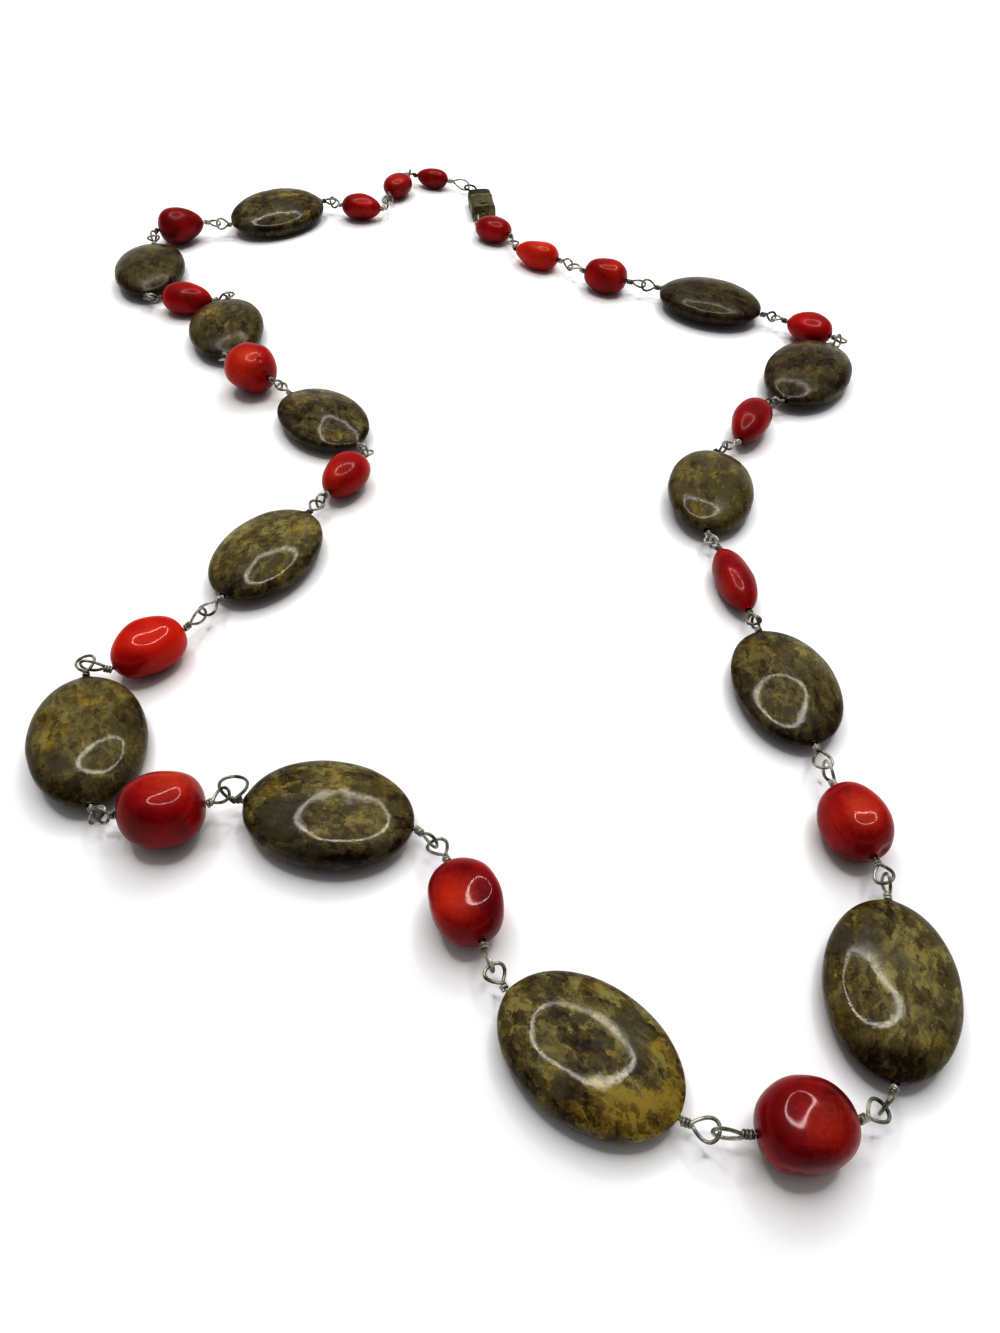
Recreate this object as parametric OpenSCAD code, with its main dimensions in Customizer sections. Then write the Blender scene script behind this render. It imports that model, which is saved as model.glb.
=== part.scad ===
// Necklace of red coral nuggets and puffed oval brown stones, closed by a small box clasp.
// Every bead is threaded on a wire of its own. The wire is turned into a loop at both ends,
// wrapped back on itself, and its loop holds the loop of the next wire.
// The necklace lies on a level surface as a closed ring, and every bead rests on it.
// Millimetres. X runs to the right, Y to the back, where the clasp is, and Z up.
// The origin is the middle of the necklace, on the surface.

/* [Stones] */
// Length of a stone along its wire
stone_length = 30; // [29:0.5:30]
// Width of a stone
stone_width = 21; // [18:0.5:22]
// Thickness of a stone at its middle
stone_thickness = 7.5; // [6:0.5:9]

/* [Coral] */
// How full the ends of a coral nugget are, where 1 is an ellipsoid and less is fuller
coral_fullness = 0.75; // [0.6:0.05:1]
// Height of the three low ridges round a nugget, as a share of its width
coral_ridge = 0.04; // [0:0.01:0.06]

/* [Wire] */
// Thickness of the wire
wire_d = 0.5; // [0.4:0.05:0.5]
// Thickness of the wrapped neck below a loop
wrap_d = 1.2; // [1.1:0.05:1.3]
// Shortest neck
neck_min = 0.7; // [0.6:0.1:0.8]
// Longest wrapped stretch of a neck
wrap_max = 2; // [1:0.5:2]
// Diameter of the hole through a bead
bore_d = 1.1; // [0.9:0.1:1.2]
// Bare wire between a bead and its neck
mouth_gap = 0.3; // [0.25:0.05:0.4]

/* [Clasp] */
// Length of the box
box_length = 8.5; // [8:0.5:9]
// Thickness of the box walls
box_wall = 0.7; // [0.5:0.1:0.9]
// Width of the bevel along the box
box_bevel = 1.2; // [0.6:0.1:1.4]
// How far the tongue reaches into the box
tongue_reach = 6; // [5:0.5:6.5]
// Clear space round the tongue inside the box
tongue_gap = 0.3; // [0.2:0.05:0.4]

/* [Hidden] */
// Smoothness of round shapes, of the stones, and of the wire's own round
$fn = 48;
STONE_FN = 96;
WIRE_FN = 24;

STONE = "stone";
CORAL = "coral";
CLASP = "clasp";

// Columns of the table below
KIND = 0;     // what the wire carries
AT_X = 1;     // middle of the bead, to the right
AT_Y = 2;     // middle of the bead, to the back
HEADING = 3;  // way the wire runs, in degrees from X towards Y
LENGTH = 4;   // size along the wire
WIDTH = 5;    // size across the wire
THICK = 6;    // size upwards
ROLL = 7;     // turn about the wire, in degrees
TAPER = 8;    // how much fatter the far end is, as a share
LOOP = 9;     // radius of the far loop, at the middle of its wire
BOW = 10;     // how far the joint with the next wire is drawn out of a corner
TWIST = 11;   // turn of the far loop about its neck, in degrees from upright

// Sizes of a stone that is a share of the full length, width and thickness
function oval(share) = share * [stone_length, stone_width, stone_thickness];

// The string from the clasp round to the clasp, seen from above in the way of a clock
LINKS = [
    [CORAL,    7.5,  114.5,  -34, 11.5,  9.5,  7.0,  0,  0.00, 1.75, 3,   0],
    [CORAL,   20.5,   98.0,  -28, 13.5,  8.5,  7.5,  0,  0.25, 1.75, 3,   0],
    [CORAL,   40.0,   84.0,  -26, 12.5, 10.0,  9.0,  0,  0.05, 1.75, 3,  90],
    [STONE,   68.5,   71.5,  -28, each oval(0.97),  0, 0,  1.5, 3,   0],
    [CORAL,   93.5,   56.5,  -36, 12.5,  9.0,  7.5,  0,  0.10, 1.75, 4,  75],
    [STONE,   89.0,   35.5, -123, each oval(1.00), -3, 0,  1.5, 3,   0],
    [CORAL,   70.5,   13.5, -116, 16.0,  9.0,  8.0,  0, -0.15,  1.5, 3,  90],
    [STONE,   57.5,  -12.0, -101, each oval(0.93), -6, 0,  1.5, 3,  90],
    [CORAL,   58.5,  -41.0,  -80, 18.0,  8.0,  7.0,  0,  0.00,  1.5, 3,  90],
    [STONE,   64.0,  -70.0,  -79, each oval(0.94),  0, 0, 1.75, 3,  90],
    [CORAL,   69.5, -101.5,  -76, 14.0, 11.5, 10.5,  0,  0.05, 1.75, 3,  90],
    [STONE,   69.0, -130.0, -102, each oval(0.98),  0, 0, 1.75, 2,   0],
    [CORAL,   51.5, -151.0, -173, 14.0, 12.5, 11.0,  0,  0.05, 1.75, 2,   0],
    [STONE,   22.5, -140.0,  142, each oval(1.00),  0, 0, 1.75, 2,  90],
    [CORAL,    4.0, -116.5,  112, 14.5, 11.5, 10.0,  0, -0.05, 1.75, 2,  90],
    [STONE,  -20.0,  -99.0,  169, each oval(1.00),  0, 0, 1.75, 3, 165],
    [CORAL,  -48.0,  -99.5, -172, 14.5, 13.5, 12.0,  0, -0.05, 1.75, 2,  15],
    [STONE,  -65.5,  -83.0,  106, each oval(1.00),  6, 0,  2.0, 6,  75],
    [CORAL,  -59.0,  -61.5,   43, 15.0, 10.5,  9.5,  0,  0.05, 1.75, 2,   0],
    [STONE,  -40.5,  -33.0,   61, each oval(0.98),  0, 0, 1.75, 3,  90],
    [CORAL,  -26.0,   -7.5,   62, 13.5,  9.5,  8.5,  0,  0.05, 1.75, 3,  90],
    [STONE,  -34.0,   16.0,  132, each oval(0.92),  0, 0,  1.5, 3,  90],
    [CORAL,  -54.0,   33.5,  141, 13.0, 12.5, 12.0,  0,  0.00, 1.75, 3,   0],
    [STONE,  -65.0,   57.5,   99, each oval(0.95),  0, 0,  1.5, 5,  90],
    [CORAL,  -78.5,   72.0,  174, 14.0,  9.5,  8.0,  0,  0.15,  1.5, 3, 165],
    [STONE,  -93.0,   89.5,   98, each oval(0.95),  0, 0, 1.75, 2,  90],
    [CORAL,  -88.5,  113.5,   20, 13.5, 10.5, 10.0,  0, -0.25, 1.75, 3,  90],
    [STONE,  -60.5,  124.5,   32, each oval(1.00),  9, 0, 1.75, 3,  90],
    [CORAL,  -34.5,  128.5,  -11, 12.5,  8.0,  7.5,  0, -0.15, 1.75, 3,   0],
    [CORAL,  -24.0,  144.5,   63, 10.5,  8.5,  7.0,  0,  0.00, 1.75, 4,  15],
    [CORAL,  -13.0,  151.5,  -20, 10.5,  6.5,  6.0,  0,  0.15, 1.75, 4,   0],
    [CLASP,    3.5,  133.5,  -82, 13.0,  7.5,  5.0,  0,  0.00, 1.75, 3,  90],
];

COUNT = len(LINKS);

// Rows of one kind, in the order of the string
function rows_of(kind) = [for (i = [0 : COUNT - 1]) if (LINKS[i][KIND] == kind) i];

STONES = rows_of(STONE);
CORALS = rows_of(CORAL);
CLASP_ROW = rows_of(CLASP)[0];

// Two digits for a name, so that the nodes sort in the order of the string
function two_digits(n) = n < 10 ? str("0", n) : str(n);
function piece_name(kind, n) = str(kind, "_", two_digits(n + 1));

// A nugget's rings of points: this many round it, at these angles from its middle to its ends
NUGGET_SIDES = 16;
NUGGET_END = 80;
NUGGET_RINGS = 11;
NUGGET_RIDGES = 3;
RIDGE_STEP = 47;

// A loop's middle lies this share of its radius short of the joint
LOOP_REACH = 0.72;
// Wrapped turns lie this share of the wire apart, round a core this share of their outside
WRAP_PITCH = 0.85;
CORE_SHARE = 0.75;

// Balls that round off the bend where a stem or a clasp post meets its neck
BEND_BALL = 1.2;
POST_BALL = 0.9;

// Cuts run this far past their faces, and joined pieces this far into each other
SKIN = 0.1;

function unit(v) = v / norm(v);
function next_row(i) = (i + 1) % COUNT;
function last_row(i) = (i + COUNT - 1) % COUNT;
function ahead(i) = [cos(LINKS[i][HEADING]), sin(LINKS[i][HEADING]), 0];

// Half the size of a nugget across its wire at angle a from its middle and angle t round it
function nugget_half(i, a, t) =
    pow(cos(a), coral_fullness)
    * (1 + LINKS[i][TAPER] * sin(a))
    * (1 + coral_ridge * cos(a) * cos(NUGGET_RIDGES * t + RIDGE_STEP * i)) / 2;

// Points of a nugget about its middle, with its wire along X: rings of points from end to end
function nugget_points(i) = [
    for (k = [0 : NUGGET_RINGS - 1])
        let (a = NUGGET_END * (2 * k / (NUGGET_RINGS - 1) - 1))
            for (m = [0 : NUGGET_SIDES - 1])
                let (t = 360 * m / NUGGET_SIDES, half = nugget_half(i, a, t))
                    [LINKS[i][LENGTH] / 2 * sin(a) / sin(NUGGET_END),
                     LINKS[i][WIDTH] * half * cos(t),
                     LINKS[i][THICK] * half * sin(t)]];

// Height of a bead's middle when it rests on the surface
function rest_height(i) =
    let (row = LINKS[i])
        row[KIND] == CORAL ? -min([for (p = nugget_points(i)) p[2]])
        : row[KIND] == STONE ? norm([row[THICK] * cos(row[ROLL]), row[WIDTH] * sin(row[ROLL])]) / 2
        : row[THICK] / 2;

function middle(i) = [LINKS[i][AT_X], LINKS[i][AT_Y], rest_height(i)];
function far_end(i) = middle(i) + ahead(i) * LINKS[i][LENGTH] / 2;
function near_end(i) = middle(i) - ahead(i) * LINKS[i][LENGTH] / 2;

// The joint of row i with the next one: midway between the two beads, drawn out of the corner
function joint(i) =
    (far_end(i) + near_end(next_row(i))) / 2
    + LINKS[i][BOW] * (ahead(i) - ahead(next_row(i))) / 2;

// Where a neck starts, outside the hole at end p, whose wire runs on along v, towards joint q
function mouth(p, v, q) = p + v * (mouth_gap + wrap_d / 2 * norm(cross(unit(q - p), v)));

// Moves a piece from the origin to its place in the string
module in_row(i) {
    translate(middle(i))
        rotate([0, 0, LINKS[i][HEADING]])
            rotate([LINKS[i][ROLL], 0, 0])
                children();
}

// The hole through a bead
module bore(length) {
    rotate([0, 90, 0])
        cylinder(d = bore_d, h = length + 2 * SKIN, center = true);
}

// A puffed oval stone: an ellipsoid, drilled along its length
module stone(i) {
    row = LINKS[i];
    color("#5a4a22")
        in_row(i)
            difference() {
                scale([row[LENGTH], row[WIDTH], row[THICK]] / 2)
                    rotate([0, 90, 0])
                        sphere(r = 1, $fn = STONE_FN);
                bore(row[LENGTH]);
            }
}

// A polished coral nugget: rings of points joined by triangles, drilled along its length
module coral(i) {
    sides = NUGGET_SIDES;
    last = sides * (NUGGET_RINGS - 1);
    walls = [
        for (k = [0 : NUGGET_RINGS - 2])
            for (m = [0 : sides - 1])
                let (n = (m + 1) % sides, a = k * sides + m, b = k * sides + n)
                    each [[a, a + sides, b], [b, a + sides, b + sides]]];
    near_cap = [for (m = [0 : sides - 1]) m];
    far_cap = [for (m = [sides - 1 : -1 : 0]) last + m];
    color("#a01212")
        in_row(i)
            difference() {
                polyhedron(points = nugget_points(i), faces = concat(walls, [near_cap, far_cap]));
                bore(LINKS[i][LENGTH]);
            }
}

// A wrapped neck along X from the origin, and the loop on its end, in the XZ plane
module neck_and_loop(neck, loop_r) {
    wire_r = wire_d / 2;
    wraps = max(1, floor(min(neck, wrap_max) / (wire_d * WRAP_PITCH)));
    rotate([0, 90, 0])
        rotate_extrude() {
            square([wrap_d / 2 * CORE_SHARE, neck]);
            for (k = [0 : wraps - 1])
                translate([wrap_d / 2 - wire_r, wire_r + k * wire_d * WRAP_PITCH])
                    circle(d = wire_d, $fn = WIRE_FN);
        }
    translate([neck + loop_r, 0, 0])
        rotate([90, 0, 0])
            rotate_extrude()
                translate([loop_r, 0])
                    circle(d = wire_d, $fn = WIRE_FN);
}

// The neck and loop that leave mouth p for joint q, turned about the neck by an angle
module eye(p, q, loop_r, turn) {
    v = q - p;
    neck = max(neck_min, norm(v) - loop_r * (1 + LOOP_REACH));
    translate(p)
        rotate([0, -atan2(v[2], norm([v[0], v[1]])), atan2(v[1], v[0])])
            rotate([turn, 0, 0])
                neck_and_loop(neck, loop_r);
}

// Both ends of row i: the loop at its far joint, and the loop that meets the row before it
module far_eye(i) {
    q = joint(i);
    eye(mouth(far_end(i), ahead(i), q), q, LINKS[i][LOOP], LINKS[i][TWIST]);
}

module near_eye(i) {
    q = joint(last_row(i));
    row = LINKS[last_row(i)];
    eye(mouth(near_end(i), -ahead(i), q), q, row[LOOP], row[TWIST] + 90);
}

// One wire: a straight stem through the bead, with an eye at both ends
module wire(i) {
    start = mouth(near_end(i), -ahead(i), joint(last_row(i)));
    stop = mouth(far_end(i), ahead(i), joint(i));
    translate(start)
        rotate([0, 90, LINKS[i][HEADING]])
            cylinder(d = wire_d, h = norm(stop - start));
    for (p = [start, stop])
        translate(p)
            sphere(d = wire_d * BEND_BALL, $fn = WIRE_FN);
    far_eye(i);
    near_eye(i);
}

module wires_of(rows) {
    color("#8c8c80")
        for (i = rows)
            wire(i);
}

// A bevelled bar along X from 0, as wide and high as given, with its middle on the X axis
module bar(length, width, height, bevel) {
    w = width / 2;
    h = height / 2;
    rotate([90, 0, 90])
        linear_extrude(height = length)
            polygon([[-w + bevel, -h], [w - bevel, -h], [w, -h + bevel], [w, h - bevel],
                     [w - bevel, h], [-w + bevel, h], [-w, h - bevel], [-w, -h + bevel]]);
}

// Inside of the box
function slot_width() = LINKS[CLASP_ROW][WIDTH] - 2 * box_wall;
function slot_height() = LINKS[CLASP_ROW][THICK] - 2 * box_wall;

// The box of the clasp: closed at its near end, where its eye is, and open for the tongue
module clasp_box() {
    row = LINKS[CLASP_ROW];
    color("#6b6740") {
        in_row(CLASP_ROW)
            translate([row[LENGTH] / 2 - box_length, 0, 0])
                difference() {
                    bar(box_length, row[WIDTH], row[THICK], box_bevel);
                    translate([-SKIN, 0, 0])
                        bar(box_length - box_wall + SKIN, slot_width(), slot_height(), box_bevel / 2);
                }
        clasp_stem(1);
        far_eye(CLASP_ROW);
    }
}

// The tongue: a head with the other eye, and a folded spring leaf that slides into the box
module clasp_tongue() {
    row = LINKS[CLASP_ROW];
    head = row[LENGTH] - box_length - tongue_gap;
    leaf_width = slot_width() - 2 * tongue_gap - box_bevel;
    leaf_height = slot_height() - 2 * tongue_gap;
    color("#4c4a30") {
        in_row(CLASP_ROW)
            translate([-row[LENGTH] / 2, 0, 0]) {
                bar(head, row[WIDTH], row[THICK], box_bevel);
                translate([head - SKIN, -leaf_width / 2, -leaf_height / 2])
                    cube([tongue_reach + tongue_gap + SKIN, leaf_width, leaf_height]);
            }
        clasp_stem(-1);
        near_eye(CLASP_ROW);
    }
}

// Short post between an end face of the clasp and the neck of its eye: 1 for the far end
module clasp_stem(side) {
    i = CLASP_ROW;
    face = side > 0 ? far_end(i) : near_end(i);
    start = mouth(face, side * ahead(i), joint(side > 0 ? i : last_row(i)));
    translate(face - side * ahead(i) * SKIN)
        rotate([0, side * 90, LINKS[i][HEADING]])
            cylinder(d = wrap_d * CORE_SHARE, h = norm(start - face) + SKIN);
    // A little fatter than the post, so that the two cross cleanly
    translate(start)
        sphere(d = wrap_d * POST_BALL, $fn = WIRE_FN);
}

for (n = [0 : len(STONES) - 1])
    stone(STONES[n]);
for (n = [0 : len(CORALS) - 1])
    coral(CORALS[n]);
wires_of(STONES);  // wires_of_stones
wires_of(CORALS);  // wires_of_corals
clasp_box();
clasp_tongue();
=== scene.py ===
"""Looks of a wire-linked necklace: polished brown stones and red coral nuggets, lying on a table.

Shapes are worked out in millimetres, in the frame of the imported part, and written to the meshes
in metres. Every bead, wire and clasp piece replaces the node of the part that it stands for.
"""
import math

import bpy
import numpy as np
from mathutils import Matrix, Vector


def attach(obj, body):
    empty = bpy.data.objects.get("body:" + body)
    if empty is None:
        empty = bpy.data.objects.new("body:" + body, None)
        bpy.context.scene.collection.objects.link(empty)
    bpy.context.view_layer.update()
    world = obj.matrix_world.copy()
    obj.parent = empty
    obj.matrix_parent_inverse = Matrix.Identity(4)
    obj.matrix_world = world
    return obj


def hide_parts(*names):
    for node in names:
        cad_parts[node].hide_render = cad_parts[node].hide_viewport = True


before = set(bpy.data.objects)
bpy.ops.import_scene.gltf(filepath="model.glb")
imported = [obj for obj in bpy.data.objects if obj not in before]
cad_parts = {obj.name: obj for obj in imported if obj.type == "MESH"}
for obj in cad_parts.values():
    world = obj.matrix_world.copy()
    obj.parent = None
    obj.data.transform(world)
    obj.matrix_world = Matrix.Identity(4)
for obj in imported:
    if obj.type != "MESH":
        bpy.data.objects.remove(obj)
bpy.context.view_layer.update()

MM = 0.001

# Driving sizes of the part, in millimetres
STONE = dict(length=30.0, width=21.0, thick=7.5)
CORAL_FULLNESS = 0.75
CORAL_RIDGE = 0.04
WIRE_D = 0.5
NECK_MIN = 0.7
BORE_D = 1.1
MOUTH_GAP = 0.3
LOOP_REACH = 0.72
NUGGET_END = 80
NUGGET_RINGS = 11
NUGGET_SIDES = 16
NUGGET_RIDGES = 3
RIDGE_STEP = 47
CLASP_BOX_LENGTH = 8.5
CLASP_WALL = 0.7
TONGUE_GAP = 0.3
TONGUE_REACH = 6.0

# The string from the clasp round to the clasp, as in the part: what the wire carries, its middle,
# the way the wire runs, the bead's size and roll, its taper, and the far loop's radius, bow and twist
COLUMNS = ("kind", "x", "y", "heading", "length", "width", "thick", "roll", "taper",
           "loop", "bow", "twist")


def coral(*numbers):
    """A row of the table for a coral nugget."""
    return dict(zip(COLUMNS, ("coral",) + numbers))


def stone(x, y, heading, share, *numbers):
    """A row of the table for a stone that is a share of the full size."""
    sizes = [share * size for size in STONE.values()]
    return dict(zip(COLUMNS, ("stone", x, y, heading, *sizes, *numbers)))


LINKS = [
    coral(7.5, 114.5, -34, 11.5, 9.5, 7.0, 0, 0.00, 1.75, 3, 0),
    coral(20.5, 98.0, -28, 13.5, 8.5, 7.5, 0, 0.25, 1.75, 3, 0),
    coral(40.0, 84.0, -26, 12.5, 10.0, 9.0, 0, 0.05, 1.75, 3, 90),
    stone(68.5, 71.5, -28, 0.97, 0, 0, 1.5, 3, 0),
    coral(93.5, 56.5, -36, 12.5, 9.0, 7.5, 0, 0.10, 1.75, 4, 75),
    stone(89.0, 35.5, -123, 1.00, -3, 0, 1.5, 3, 0),
    coral(70.5, 13.5, -116, 16.0, 9.0, 8.0, 0, -0.15, 1.5, 3, 90),
    stone(57.5, -12.0, -101, 0.93, -6, 0, 1.5, 3, 90),
    coral(58.5, -41.0, -80, 18.0, 8.0, 7.0, 0, 0.00, 1.5, 3, 90),
    stone(64.0, -70.0, -79, 0.94, 0, 0, 1.75, 3, 90),
    coral(69.5, -101.5, -76, 14.0, 11.5, 10.5, 0, 0.05, 1.75, 3, 90),
    stone(69.0, -130.0, -102, 0.98, 0, 0, 1.75, 2, 0),
    coral(51.5, -151.0, -173, 14.0, 12.5, 11.0, 0, 0.05, 1.75, 2, 0),
    stone(22.5, -140.0, 142, 1.00, 0, 0, 1.75, 2, 90),
    coral(4.0, -116.5, 112, 14.5, 11.5, 10.0, 0, -0.05, 1.75, 2, 90),
    stone(-20.0, -99.0, 169, 1.00, 0, 0, 1.75, 3, 165),
    coral(-48.0, -99.5, -172, 14.5, 13.5, 12.0, 0, -0.05, 1.75, 2, 15),
    stone(-65.5, -83.0, 106, 1.00, 6, 0, 2.0, 6, 75),
    coral(-59.0, -61.5, 43, 15.0, 10.5, 9.5, 0, 0.05, 1.75, 2, 0),
    stone(-40.5, -33.0, 61, 0.98, 0, 0, 1.75, 3, 90),
    coral(-26.0, -7.5, 62, 13.5, 9.5, 8.5, 0, 0.05, 1.75, 3, 90),
    stone(-34.0, 16.0, 132, 0.92, 0, 0, 1.5, 3, 90),
    coral(-54.0, 33.5, 141, 13.0, 12.5, 12.0, 0, 0.00, 1.75, 3, 0),
    stone(-65.0, 57.5, 99, 0.95, 0, 0, 1.5, 5, 90),
    coral(-78.5, 72.0, 174, 14.0, 9.5, 8.0, 0, 0.15, 1.5, 3, 165),
    stone(-93.0, 89.5, 98, 0.95, 0, 0, 1.75, 2, 90),
    coral(-88.5, 113.5, 20, 13.5, 10.5, 10.0, 0, -0.25, 1.75, 3, 90),
    stone(-60.5, 124.5, 32, 1.00, 9, 0, 1.75, 3, 90),
    coral(-34.5, 128.5, -11, 12.5, 8.0, 7.5, 0, -0.15, 1.75, 3, 0),
    coral(-24.0, 144.5, 63, 10.5, 8.5, 7.0, 0, 0.00, 1.75, 4, 15),
    coral(-13.0, 151.5, -20, 10.5, 6.5, 6.0, 0, 0.15, 1.75, 4, 0),
    dict(zip(COLUMNS, ("clasp", 3.5, 133.5, -82, 13.0, 7.5, 5.0, 0, 0, 1.75, 3, 90))),
]
COUNT = len(LINKS)
STONES = [i for i in range(COUNT) if LINKS[i]["kind"] == "stone"]
CORALS = [i for i in range(COUNT) if LINKS[i]["kind"] == "coral"]
CLASP_ROW = COUNT - 1

# Looks of each stone: how much lighter or darker it is than the usual one, how strong its mottling
# is, how rough its polish is, how much flatter than an ellipsoid its top is (below 0 is more domed),
# and how far its crown leans along and across it
STONE_LOOKS = [
    (-0.14, 0.70, 0.16, 0.00, 0.00, 0.00),
    (-0.11, 0.80, 0.15, -0.05, 0.00, 0.05),
    (0.02, 0.65, 0.12, 0.16, -0.05, 0.26),
    (0.00, 0.85, 0.06, -0.30, 0.12, 0.26),
    (0.03, 0.95, 0.045, 0.12, 0.21, 0.02),
    (0.06, 1.15, 0.045, 0.05, 0.00, 0.09),
    (0.01, 1.05, 0.05, 0.12, 0.08, 0.06),
    (0.06, 0.75, 0.06, 0.05, -0.34, -0.14),
    (0.09, 0.95, 0.08, -0.06, 0.00, 0.00),
    (-0.06, 1.05, 0.12, -0.40, 0.00, -0.12),
    (-0.06, 0.85, 0.20, 0.00, 0.00, 0.00),
    (-0.07, 0.70, 0.22, 0.00, 0.00, 0.00),
    (-0.05, 1.00, 0.12, 0.00, 0.00, 0.00),
]

# Shape of each coral: the power of the cosine that its half size goes with, where 1 is an ellipsoid,
# less is fuller and more is pointed, how much flatter than that its top is, how far its crown leans
# along and across it, and the power of the sine that its height goes with across the top, where 1 is
# an ellipse and less is broader
CORAL_SHAPES = [
    (0.85, 0.10, 0.00, 0.00, 1.00),
    (0.90, 0.08, 0.00, 0.00, 1.00),
    (0.78, 0.12, 0.00, 0.00, 1.00),
    (0.95, 0.08, 0.00, 0.00, 1.00),
    (0.95, 0.06, 0.00, 0.00, 1.00),
    (1.15, 0.06, 0.00, 0.00, 1.00),
    (0.80, 0.15, 0.19, 0.13, 1.00),
    (0.80, 0.155, -0.08, -0.09, 0.74),
    (0.80, 0.155, -0.15, -0.20, 0.60),
    (0.78, 0.145, 0.04, 0.175, 1.00),
    (0.82, 0.155, -0.11, 0.13, 0.55),
    (0.90, 0.12, 0.00, 0.00, 1.00),
    (0.80, 0.10, 0.00, 0.00, 1.00),
    (1.00, 0.12, 0.00, 0.00, 1.00),
    (0.90, 0.04, 0.00, 0.00, 1.00),
    (1.00, 0.06, 0.00, 0.00, 1.00),
    (0.85, 0.10, 0.00, 0.00, 1.00),
    (0.90, 0.00, 0.00, 0.00, 1.00),
]

# Looks of each coral: how bright its red is from crimson 0 to scarlet 1, how strong its orange
# patch is, where the patch lies along and across the bead, as shares of its half size, and how
# rough its polish is
CORAL_LOOKS = [
    (0.46, 0.00, 0.0, 0.0, 0.22),
    (0.92, 0.80, 0.2, -0.4, 0.22),
    (0.50, 0.50, 0.45, -0.4, 0.20),
    (0.62, 0.20, 0.0, 0.2, 0.20),
    (0.38, 0.00, 0.0, 0.0, 0.20),
    (0.42, 0.50, 0.5, -0.5, 0.15),
    (0.50, 0.80, 0.1, -0.1, 0.085),
    (0.32, 0.50, -0.2, 0.2, 0.085),
    (0.44, 0.80, -0.1, 0.4, 0.085),
    (0.38, 0.80, -0.4, -0.3, 0.085),
    (0.94, 0.30, -0.1, -0.5, 0.085),
    (0.54, 0.60, -0.7, 0.05, 0.15),
    (0.60, 1.00, -0.3, 0.4, 0.17),
    (0.58, 0.00, 0.0, 0.0, 0.22),
    (0.38, 0.00, 0.0, 0.0, 0.24),
    (0.52, 0.30, 0.3, -0.6, 0.22),
    (0.52, 0.60, -0.4, -0.4, 0.22),
    (0.48, 0.10, 0.0, 0.0, 0.22),
]

# Dents in the corals: coral, the way to the dent from the middle of the bead as right, back and up,
# and its half width and depth in mm
DENTS = [
    (7, 0.45, -0.88, 0.15, 1.9, 0.45),
    (8, -0.37, -0.92, 0.15, 1.5, 0.22),
    (8, -0.57, -0.80, 0.16, 1.2, 0.16),
    (8, 0.68, -0.17, 0.71, 1.4, 0.08),
    (13, 0.52, -0.51, 0.68, 1.1, 0.25),
    (14, 0.17, -0.75, 0.64, 2.0, 0.12),
]


def unit(v):
    """The way that v points, of length 1."""
    return v / np.linalg.norm(v)


def smooth_step(x):
    """0 below 0, 1 above 1, and 3x^2 - 2x^3 between."""
    x = np.clip(x, 0.0, 1.0)
    return x * x * (3 - 2 * x)


def around(count):
    """Angles of evenly spaced points round a circle."""
    return np.arange(count) * 2 * math.pi / count


def ahead(i):
    """The way that wire i runs, level."""
    turn = math.radians(LINKS[i]["heading"])
    return np.array([math.cos(turn), math.sin(turn), 0.0])


def nugget_half(i, a, t):
    """Half size of nugget i across its wire: a full cosine along it, tapered, with three low ridges."""
    row = LINKS[i]
    ridge = CORAL_RIDGE * np.cos(a) * np.cos(NUGGET_RIDGES * t + math.radians(RIDGE_STEP) * i)
    return np.abs(np.cos(a)) ** CORAL_FULLNESS * (1 + row["taper"] * np.sin(a)) * (1 + ridge) / 2


def rest_height(i):
    """Height of a bead's middle above the table, as the part has it."""
    row = LINKS[i]
    if row["kind"] == "coral":
        end = math.radians(NUGGET_END)
        a = np.linspace(-end, end, NUGGET_RINGS)[:, None]
        t = around(NUGGET_SIDES)[None, :]
        return -(row["thick"] * nugget_half(i, a, t) * np.sin(t)).min()
    roll = math.radians(row["roll"])
    if row["kind"] == "stone":
        return math.hypot(row["thick"] * math.cos(roll), row["width"] * math.sin(roll)) / 2
    return row["thick"] / 2


def middle(i):
    """The middle of bead i, at rest on the table."""
    return np.array([LINKS[i]["x"], LINKS[i]["y"], rest_height(i)])


def far_end(i):
    """Where wire i leaves its bead towards the next."""
    return middle(i) + ahead(i) * LINKS[i]["length"] / 2


def near_end(i):
    """Where wire i leaves its bead towards the one before."""
    return middle(i) - ahead(i) * LINKS[i]["length"] / 2


def joint(i):
    """Where wire i meets the next: midway between the two beads, drawn out of the corner."""
    after = (i + 1) % COUNT
    return (far_end(i) + near_end(after)) / 2 + LINKS[i]["bow"] * (ahead(i) - ahead(after)) / 2


def mouth(p, v, q):
    """Where the neck begins, off end p of a bead that faces v, so that a neck towards q clears it."""
    return p + v * (MOUTH_GAP + WIRE_D / 2 * np.linalg.norm(np.cross(unit(q - p), v)))


def in_row(i, points):
    """Moves points from about the origin, with the wire along X, to the place of bead i."""
    roll = math.radians(LINKS[i]["roll"])
    along = ahead(i)
    level = np.cross([0.0, 0.0, 1.0], along)
    across = level * math.cos(roll) + np.array([0.0, 0.0, math.sin(roll)])
    return points @ np.array([along, across, np.cross(along, across)]) + middle(i)


# Meshes

def grid_faces(rows, columns, close_rows, close_columns):
    """Quads of a grid of points, joined from its last row or column to its first where asked."""
    index = np.arange(rows * columns).reshape(rows, columns)
    if close_rows:
        index = np.vstack([index, index[:1]])
    if close_columns:
        index = np.hstack([index, index[:, :1]])
    corners = (index[:-1, :-1], index[1:, :-1], index[1:, 1:], index[:-1, 1:])
    return np.stack(corners, axis=-1).reshape(-1, 4)


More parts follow.
